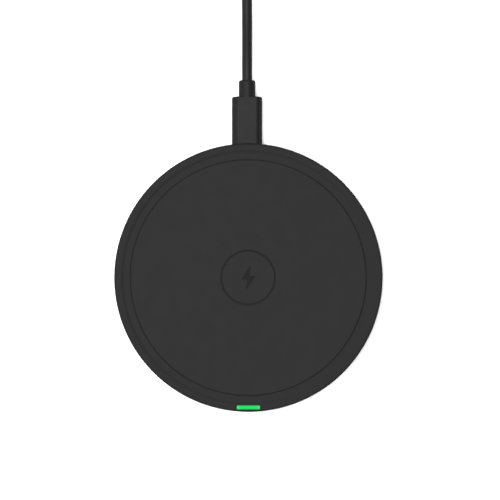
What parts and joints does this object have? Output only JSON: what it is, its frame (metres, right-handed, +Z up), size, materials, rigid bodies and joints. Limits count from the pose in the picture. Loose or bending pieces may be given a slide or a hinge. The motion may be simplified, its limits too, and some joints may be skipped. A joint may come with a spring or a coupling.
{
  "type": "wireless charging pad",
  "caption": "Round flat charging pad with a soft top, raised rim, status light bar, foot ring and a plug-in cord wound into a tied coil.",
  "frame": {"origin": "centre of the round pad on the plane it rests on", "axes": "+Z up through the pad, +Y out of the socket side along the cord, -Y towards the status light, +X to the right when the light faces you"},
  "size_m": [0.1241, 0.2251, 0.01],
  "materials": {
    "soft_touch_black": "matt soft-touch black casing",
    "casing_black": "fine-textured black casing",
    "silicone_black": "matt black silicone",
    "mark_grey": "darker matt inlay",
    "adhesive_film": "translucent double-sided film",
    "foot_rubber": "black non-slip rubber",
    "zinc_screw": "zinc-plated steel",
    "board_green": "solder-masked glass-fibre laminate",
    "copper_wire": "enamelled copper",
    "solder": "bright tin solder",
    "ferrite": "sintered dark grey ferrite",
    "foam": "dark open foam",
    "chip_black": "black moulded resin",
    "capacitor_tan": "fired ceramic",
    "light_green": "lit translucent green",
    "drawn_steel": "nickel-plated drawn steel",
    "insert_black": "black moulded insert",
    "insert_white": "white moulded insert",
    "contact_gold": "gold-plated contact",
    "grip_black": "satin black moulded elastomer",
    "cord_black": "satin black cord jacket",
    "tie_fabric": "black hook-and-loop strap"
  },
  "bodies": {
    "pad": {"top_housing": "soft_touch_black", "bottom_housing": "casing_black", "top_mat": "silicone_black", "centre_mark": "mark_grey", "mat_adhesive": "adhesive_film", "foot_ring": "foot_rubber", "foot_adhesive": "adhesive_film", "housing_screws": "zinc_screw", "main_pcb": "board_green", "tx_coil": "copper_wire", "coil_solder": "solder", "ferrite_shield": "ferrite", "coil_adhesive": "adhesive_film", "foam_pad": "foam", "thermistor": "chip_black", "controller_ic": "chip_black", "power_mosfets": "chip_black", "resonant_capacitors": "capacitor_tan", "power_inductor": "ferrite", "ceramic_capacitors": "capacitor_tan", "chip_resistors": "chip_black", "status_leds": "light_green", "light_guide": "light_green", "usb_receptacle_shell": "drawn_steel", "usb_receptacle_tongue": "insert_black", "usb_receptacle_contacts": "contact_gold"},
    "cable": {"usb_c_shell": "drawn_steel", "usb_c_insulator": "insert_black", "usb_c_contacts": "contact_gold", "usb_c_paddle_board": "board_green", "usb_c_overmold": "grip_black", "usb_c_strain_relief": "grip_black", "cable_lead": "cord_black", "cable_coil": "cord_black", "cable_tail": "cord_black", "cable_tie": "tie_fabric", "usb_a_shell": "drawn_steel", "usb_a_insulator": "insert_white", "usb_a_contacts": "contact_gold", "usb_a_overmold": "grip_black", "usb_a_strain_relief": "grip_black"}
  },
  "joints": [
    {"name": "plug_pull", "type": "slide", "parent": "pad", "child": "cable", "axis": [0, 1, 0], "range_m": [0, 0.012]}
  ]
}
